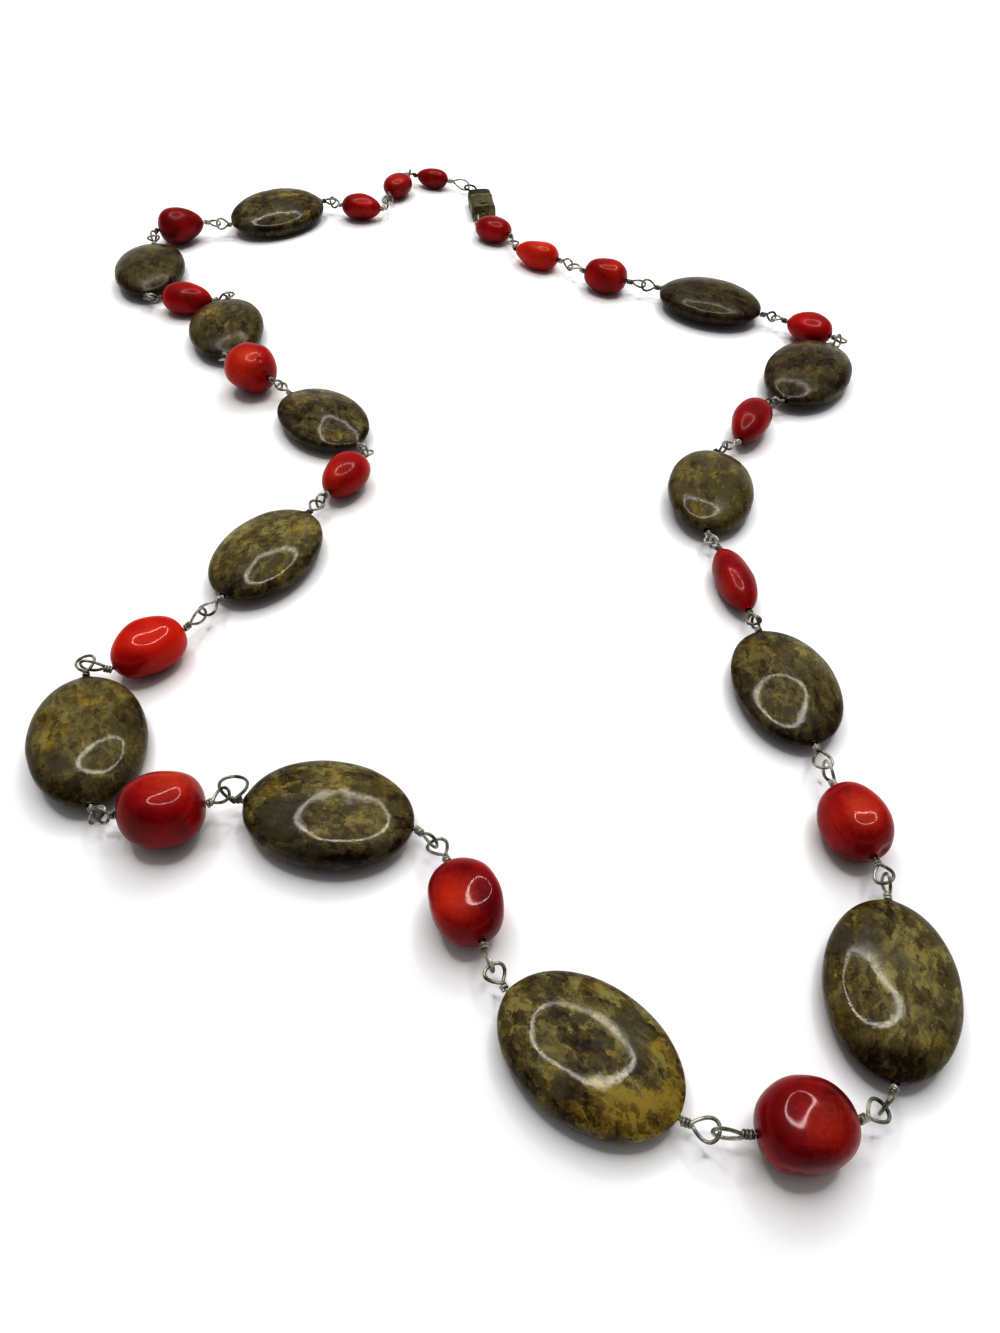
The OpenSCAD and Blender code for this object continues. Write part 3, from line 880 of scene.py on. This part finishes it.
def dyed_coral():
    """Bamboo coral, dyed and polished: a glassy red with a little light inside it.

    The dye is uneven, so crimson drifts into scarlet, and where it took badly orange shows through.
    """
    material, tree = new_material("dyed_coral")
    where = add(tree, "ShaderNodeAttribute", attribute_name="bead_mm").outputs["Vector"]
    looks = add(tree, "ShaderNodeAttribute", attribute_name="dye_and_painted_shade").outputs["Vector"]
    looks = add(tree, "ShaderNodeSeparateXYZ", links={0: looks})
    drift = add(tree, "ShaderNodeTexNoise", {"Scale": 1 / DRIFT, "Detail": 4.0, "Roughness": 0.55},
                {"Vector": where})
    speck = add(tree, "ShaderNodeTexNoise", {"Scale": 1 / SPECK, "Detail": 4.0, "Roughness": 0.6},
                {"Vector": where})
    # The dye attribute's first value is the coral's red, lowered in its dents and, as painted shade, on
    # its underside.
    tone = add(tree, "ShaderNodeMath", {1: 1.2}, {0: drift, 2: looks.outputs["X"]},
               operation="MULTIPLY_ADD")
    tone = add(tree, "ShaderNodeMath", {1: 0.2}, {0: speck, 2: tone}, operation="MULTIPLY_ADD")
    tone = add(tree, "ShaderNodeMath", {1: 0.72}, {0: tone}, operation="SUBTRACT")
    red = add(tree, "ShaderNodeValToRGB", links={"Fac": tone}, stops=[
        (0.0, "#5c0e13"), (0.35, "#861318"), (0.65, "#a31a17"), (1.0, "#bf2e14")])
    patch = add(tree, "ShaderNodeMath", {1: 0.6}, {0: speck, 2: looks.outputs["Y"]},
                operation="MULTIPLY_ADD")
    patch = add(tree, "ShaderNodeMapRange", {"From Min": 0.45, "From Max": 1.25, "To Max": 0.85},
                {"Value": patch})
    colour = add(tree, "ShaderNodeMix", {7: linear("#c04a28")}, {0: patch, 6: red}, data_type="RGBA")
    bump = add(tree, "ShaderNodeBump", {"Strength": 0.12, "Distance": 0.03 * MM}, {"Height": speck})
    shader = add(tree, "ShaderNodeBsdfPrincipled",
                 {"IOR": 1.5, "Specular IOR Level": 0.15, "Roughness": 0.4, "Subsurface Weight": 0.12,
                  "Subsurface Scale": 1.5 * MM, "Subsurface Radius": (1.0, 0.2, 0.15),
                  "Coat Weight": 0.42},
                 {"Base Color": colour.outputs[2], "Normal": bump, "Coat Roughness": looks.outputs["Z"]})
    add(tree, "ShaderNodeOutputMaterial", links={"Surface": shader})
    return material


# Sizes of the stains on the silver and of the rubbed clouds on the brass, in mm
STAIN = 10 / 4.2
RUB = 10 / 5


def tarnished_silver():
    """Silver wire, drawn and left to tarnish: olive grey, rubbed brighter and stained darker."""
    material, tree = new_material("tarnished_silver")
    where = add(tree, "ShaderNodeTexCoord").outputs["Object"]
    stain = add(tree, "ShaderNodeTexNoise",
                {"Scale": 1 / (STAIN * MM), "Detail": 4.0, "Roughness": 0.6}, {"Vector": where})
    colour = add(tree, "ShaderNodeValToRGB", links={"Fac": stain}, stops=[
        (0.34, "#484740"), (0.46, "#838277"), (0.60, "#c0bfb4")])
    dull = add(tree, "ShaderNodeMapRange", {"To Min": 0.5, "To Max": 0.26}, {"Value": stain})
    shader = add(tree, "ShaderNodeBsdfPrincipled", {"Metallic": 0.55},
                 {"Base Color": colour, "Roughness": dull})
    add(tree, "ShaderNodeOutputMaterial", links={"Surface": shader})
    return material


def antique_brass(name, dark, light):
    """Brass, stamped and darkened in a bath: dull olive brown, rubbed lighter in clouds."""
    material, tree = new_material(name)
    where = add(tree, "ShaderNodeTexCoord").outputs["Object"]
    rub = add(tree, "ShaderNodeTexNoise",
              {"Scale": 1 / (RUB * MM), "Detail": 5.0, "Roughness": 0.6}, {"Vector": where})
    colour = add(tree, "ShaderNodeValToRGB", links={"Fac": rub}, stops=[(0.35, dark), (0.65, light)])
    bump = add(tree, "ShaderNodeBump", {"Strength": 0.2, "Distance": 0.02 * MM}, {"Height": rub})
    shader = add(tree, "ShaderNodeBsdfPrincipled", {"Metallic": 0.6, "Roughness": 0.45},
                 {"Base Color": colour, "Normal": bump})
    add(tree, "ShaderNodeOutputMaterial", links={"Surface": shader})
    return material


BRONZITE = polished_bronzite()
CORAL = dyed_coral()
SILVER = tarnished_silver()
BRASS = antique_brass("antique_brass", "#5a5740", "#827e60")
# The tongue's brass is a darker copy of the box's: painted shade, so the far end of the clasp reads
# dark.
BRASS_WITH_PAINTED_SHADE = antique_brass("antique_brass_with_painted_shade", "#302e20", "#5c583f")

# Patches on the stones that lie nearest: stone, how far right and back of its middle,
# half width and half depth in mm, and how much lighter, smokier and more golden the patch is
# The darker patches 7 to 13 mm in front of a stone's middle lie on its front, which faces away from the
# lamps: partly the stone's own dark ground, partly painted shade.
PATCHES = [
    (3, 0, 2, 12, 3, 0.08, 0.0, 0.05),
    (3, -3, -7, 9, 2, -0.06, 0.0, 0.0),
    (4, -4, 8, 6, 4, 0.04, 0.12, 0.0),
    (4, 3, 5, 4, 3, 0.10, 0.0, 0.14),
    (4, 0, -13, 8, 4, -0.12, 0.0, 0.0),
    (5, 3, 1, 6, 9, 0.14, 0.04, -0.08),
    (5, -5, 6, 6, 3, -0.10, 0.10, 0.0),
    (5, -1, -9, 6, 1.6, 0.12, -0.1, 0.12),
    (5, -5, -12, 5, 3, -0.22, 0.0, 0.1),
    (5, 8, 3, 3, 5, -0.08, 0.0, 0.0),
    (5, -9, -3, 3, 7, 0.02, 0.0, 0.12),
    (6, 0, -0.5, 2, 0.8, -0.35, 0.10, -0.1),
    (6, 6, -9, 7, 4, 0.16, -0.2, 0.25),
    (6, -11, 6, 4, 4, 0.08, 0.0, -0.1),
    (6, -5, -8, 7, 4, -0.14, 0.0, 0.10),
    (6, 7, 3, 3, 3, 0.02, 0.22, -0.1),
    (6, -4, 4, 4, 3, 0.10, 0.05, -0.1),
    (6, 12, -1, 3, 6, 0.04, -0.2, 0.25),
    (7, 0, 4, 4, 3, 0.12, -0.1, 0.05),
    (7, -9, 3, 3, 2, 0.14, -0.2, 0.15),
    (7, -7, -2, 4, 5, -0.05, 0.24, -0.1),
    (7, 2, -3, 4, 3, 0.12, 0.0, 0.0),
    (7, 8, -3, 3, 3, 0.10, -0.1, 0.0),
    (7, 2, -10, 14, 3, -0.20, 0.0, 0.0),
    (8, -1, 4, 9, 9, 0.06, -0.15, 0.06),
    (8, -5, -8, 4, 3, -0.12, 0.12, 0.0),
    (8, 7, 3, 3, 5, -0.14, 0.0, 0.0),
    (8, 0, -13, 9, 2, -0.14, -0.1, 0.0),
    (9, -6, 2, 4, 4, 0.06, 0.0, 0.10),
    (9, 4, 5, 5, 4, 0.08, 0.0, 0.0),
    (9, -4, -12, 8, 3, -0.16, 0.0, 0.0),
    (10, -5, 4, 5, 3, 0.14, 0.0, 0.15),
    (11, -4, 1, 4, 5, 0.12, 0.0, 0.18),
    (13, 3, 5, 4, 3, 0.14, 0.0, 0.15),
    (13, 4, -2, 5, 3, -0.05, 0.25, 0.0),
]


# Painted shade on the stones: where a stone's edge begins to darken and over how much more of its
# half size it does, and how much darker the painted shade makes the edge and the underside
EDGE_START = 0.78
EDGE_WIDTH = 0.24
PAINTED_EDGE_SHADE = 0.14
PAINTED_UNDERSIDE_SHADE = 0.26


def patches_and_painted_shade(i, number, points, skin):
    """Sum of the soft-edged ovals on stone i, as lightness, smoke and gold at each point.

    The stone is painted a little darker towards its edge, and darker underneath, as painted shade.
    """
    total = np.zeros((len(points), 3))
    local = skin.reshape(-1, 3) / [LINKS[i]["length"] / 2, LINKS[i]["width"] / 2, 1]
    # Painted shade: the lightness falls towards the edge of the top and over the whole underside.
    painted_shade_edge_mask = smooth_step((np.hypot(local[:, 0], local[:, 1]) - EDGE_START) / EDGE_WIDTH)
    painted_shade = np.where(local[:, 2] > 0, PAINTED_EDGE_SHADE * painted_shade_edge_mask, PAINTED_UNDERSIDE_SHADE)
    total[:, 0] = STONE_LOOKS[number - 1][0] - painted_shade
    for stone_number, right, back, wide, deep, *more in PATCHES:
        if stone_number == number:
            off = np.hypot((points[:, 0] - LINKS[i]["x"] - right) / wide,
                           (points[:, 1] - LINKS[i]["y"] - back) / deep)
            total += (1 - smooth_step(off - 0.5))[:, None] * more
    return total


# Stones
for n, i in enumerate(STONES):
    _, strength, polish, *shape = STONE_LOOKS[n]
    skin = stone_skin(i, *shape)
    points = place_bead(i, skin)
    make_piece(f"puffed_stone_{n + 1:02d}", points,
               grid_faces(skin.shape[0], STONE_COLUMNS, True, True)[:, ::-1], BRONZITE,
               [f"stone_{n + 1:02d}"],
               {"bead_mm": bead_coordinates(i, skin), "patch": patches_and_painted_shade(i, n + 1, points, skin),
                "finish": np.tile([strength, polish, 0.0], (len(points), 1))})


# The depth in mm from which a dent is fully darkened, how much less red the dents are and how much
# less red the painted shade makes the underside of a coral, and the radius of its orange patch as a
# share of its half size
FULL_DENT = 0.3
DENT_DARKER = 0.4
CORAL_PAINTED_UNDERSIDE_SHADE = 0.35
ORANGE_RADIUS = 1.1


def dented(i, number, points):
    """Coral i with its dents pressed in towards its middle, and how deep each point lies in one.

    A dent is a smooth bowl about the point that lies the given way from the bead's middle.
    """
    depth_share = np.zeros(len(points))
    out = points - middle(i)
    out /= np.linalg.norm(out, axis=1, keepdims=True)
    for coral_number, *way, half_width, depth in DENTS:
        if coral_number == number:
            centre = points[np.argmax(out @ unit(np.array(way)))]
            bowl = 1 - smooth_step(np.linalg.norm(points - centre, axis=1) / half_width)
            points = points - depth * bowl[:, None] * out
            depth_share = np.maximum(depth_share, bowl * min(1.0, depth / FULL_DENT))
    return points, depth_share


def dye_and_painted_shade(i, skin, looks, depth_share):
    """Brightness of the red, strength of the orange patch, and roughness of the polish.

    The patch is a soft disc on the top of the bead. The dents are darker, and the underside is darker as
    painted shade.
    """
    bright, strength, along, across, polish = looks
    row = LINKS[i]
    share = skin.reshape(-1, 3) / [row["length"] / 2, row["width"] / 2, row["thick"] / 2]
    off = np.hypot(share[:, 0] - along, share[:, 1] - across)
    patch = strength * (1 - smooth_step(off / ORANGE_RADIUS)) * smooth_step(share[:, 2] + 0.4)
    painted_under_shade = smooth_step(0.2 - share[:, 2])
    red = bright - CORAL_PAINTED_UNDERSIDE_SHADE * painted_under_shade - DENT_DARKER * depth_share
    return np.stack([red, patch, np.full_like(patch, polish)], -1)


# Corals
for n, i in enumerate(CORALS):
    skin = coral_skin(i, *CORAL_SHAPES[n])
    points, depth_share = dented(i, n + 1, place_bead(i, skin))
    make_piece(f"coral_nugget_{n + 1:02d}", points,
               grid_faces(skin.shape[0], CORAL_COLUMNS, True, True)[:, ::-1], CORAL,
               [f"coral_{n + 1:02d}"],
               {"bead_mm": bead_coordinates(i, skin),
                "dye_and_painted_shade": dye_and_painted_shade(i, skin, CORAL_LOOKS[n], depth_share)})

# Wires
for name, rows in (("stones", STONES), ("corals", CORALS)):
    points, faces = join([wire(i) for i in rows])
    make_piece(f"wrapped_wires_of_{name}", points, faces, SILVER, [f"wires_of_{name}"])

# Clasp
make_clasp_piece("box_of_clasp", [clasp_box_shell(), clasp_tab()], clasp_eye(1), BRASS,
                 "clasp_box")
make_clasp_piece("tongue_of_clasp", [clasp_head(), clasp_leaf()], clasp_eye(-1), BRASS_WITH_PAINTED_SHADE,
                 "clasp_tongue")


# Stage: the table, the lamps, and the camera

def matte_white():
    """White card, matte: an even ground that takes soft shadows."""
    material, tree = new_material("matte_white")
    shader = add(tree, "ShaderNodeBsdfPrincipled", {"Base Color": linear("#f4f4f4"), "Roughness": 0.9})
    add(tree, "ShaderNodeOutputMaterial", links={"Surface": shader})
    return material


# A round white table. The air is as pale as its rim low down, so the rim hardly shows.
TABLE_RADIUS = 0.6
TABLE_SIDES = 96
turns = around(TABLE_SIDES)
rim = TABLE_RADIUS * np.stack([np.cos(turns), np.sin(turns), 0 * turns], -1)
table = bpy.data.meshes.new("table")
table.from_pydata(rim.tolist(), [], [tuple(range(TABLE_SIDES))])
table.materials.append(matte_white())
table = bpy.data.objects.new("table", table)
bpy.context.scene.collection.objects.link(table)


def lamp(name, place, aim, size, power, seen_in_gloss):
    """A rectangular soft lamp at a place, facing a point. Its power is in watts."""
    light = bpy.data.lights.new(name, "AREA")
    light.shape = "RECTANGLE"
    light.size, light.size_y = size
    light.energy = power
    shown = bpy.data.objects.new(name, light)
    bpy.context.scene.collection.objects.link(shown)
    shown.location = place
    way = Vector(aim) - Vector(place)
    shown.rotation_euler = way.to_track_quat("-Z", "Y").to_euler()
    shown.visible_glossy = seen_in_gloss
    return shown


# A ring of lamps over the table, whose outline shows in every polished bead. They lie along a
# circle, each as long as its share of the circle.
RING_MIDDLE = (0.03, 0.34, 1.0)
RING_RADIUS = 0.385
RING_LAMPS = 20
RING_WIDTH = 0.038
RING_POWER = 5.8
for k in range(RING_LAMPS):
    turn = 2 * math.pi * k / RING_LAMPS
    x = RING_MIDDLE[0] + RING_RADIUS * math.cos(turn)
    y = RING_MIDDLE[1] + RING_RADIUS * math.sin(turn)
    size = (RING_WIDTH, 2 * RING_RADIUS * math.tan(math.pi / RING_LAMPS))
    piece = lamp(f"ring_{k + 1:02d}", (x, y, RING_MIDDLE[2]), (x, y, 0), size, RING_POWER / RING_LAMPS,
                 seen_in_gloss=True)
    piece.rotation_euler = (0, 0, turn)

# Soft light from above, and a key light from behind on the right
lamp("soft_top", place=(0.03, 0.2, 0.8), aim=(0, 0, 0), size=(1.8, 1.4), power=1.8,
     seen_in_gloss=False)
lamp("soft_key", place=(0.42, 0.66, 0.62), aim=(0, 0, 0), size=(0.5, 0.5), power=1.22,
     seen_in_gloss=False)


def studio_world():
    """Air that is pale at the horizon, darker higher up, and a little paler again round the lamp."""
    world = bpy.data.worlds.new("studio")
    world.use_nodes = True
    tree = world.node_tree
    tree.nodes.clear()
    way = add(tree, "ShaderNodeTexCoord").outputs["Generated"]
    lamp_way = unit(np.array(RING_MIDDLE)).tolist()
    near = add(tree, "ShaderNodeVectorMath", {1: lamp_way}, {0: way},
               operation="DOT_PRODUCT").outputs["Value"]
    height = add(tree, "ShaderNodeSeparateXYZ", links={0: way}).outputs["Z"]
    round_lamp = add(tree, "ShaderNodeMapRange",
                     {"From Min": 0.1, "From Max": 1.0, "To Min": 0.08, "To Max": 0.24},
                     {"Value": near}, interpolation_type="SMOOTHSTEP")
    horizon = add(tree, "ShaderNodeMapRange",
                  {"From Min": 0.02, "From Max": 0.45, "To Min": 0.55, "To Max": 0.0},
                  {"Value": height}, interpolation_type="SMOOTHSTEP")
    shade = add(tree, "ShaderNodeMath", links={0: round_lamp, 1: horizon})
    glow = add(tree, "ShaderNodeBackground", {"Color": (1, 1, 1, 1)}, {"Strength": shade})
    add(tree, "ShaderNodeOutputWorld", links={"Surface": glow})
    return world


bpy.context.scene.world = studio_world()
bpy.context.scene.view_settings.view_transform = "Standard"
bpy.context.scene.view_settings.look = "Very High Contrast"

# The photograph's camera: above the near end of the ring, looking back and down
CAMERA_PLACE = (0.0095, -0.196, 0.153)
CAMERA_DOWN = math.radians(48.8)
CAMERA_LENS = 27.7
camera = bpy.data.cameras.new("camera")
camera.sensor_width = 36
camera.lens = CAMERA_LENS
camera.clip_start = 0.01
camera = bpy.data.objects.new("camera", camera)
bpy.context.scene.collection.objects.link(camera)
camera.location = CAMERA_PLACE
camera.rotation_euler = (math.pi / 2 - CAMERA_DOWN, 0, 0)
bpy.context.scene.camera = camera
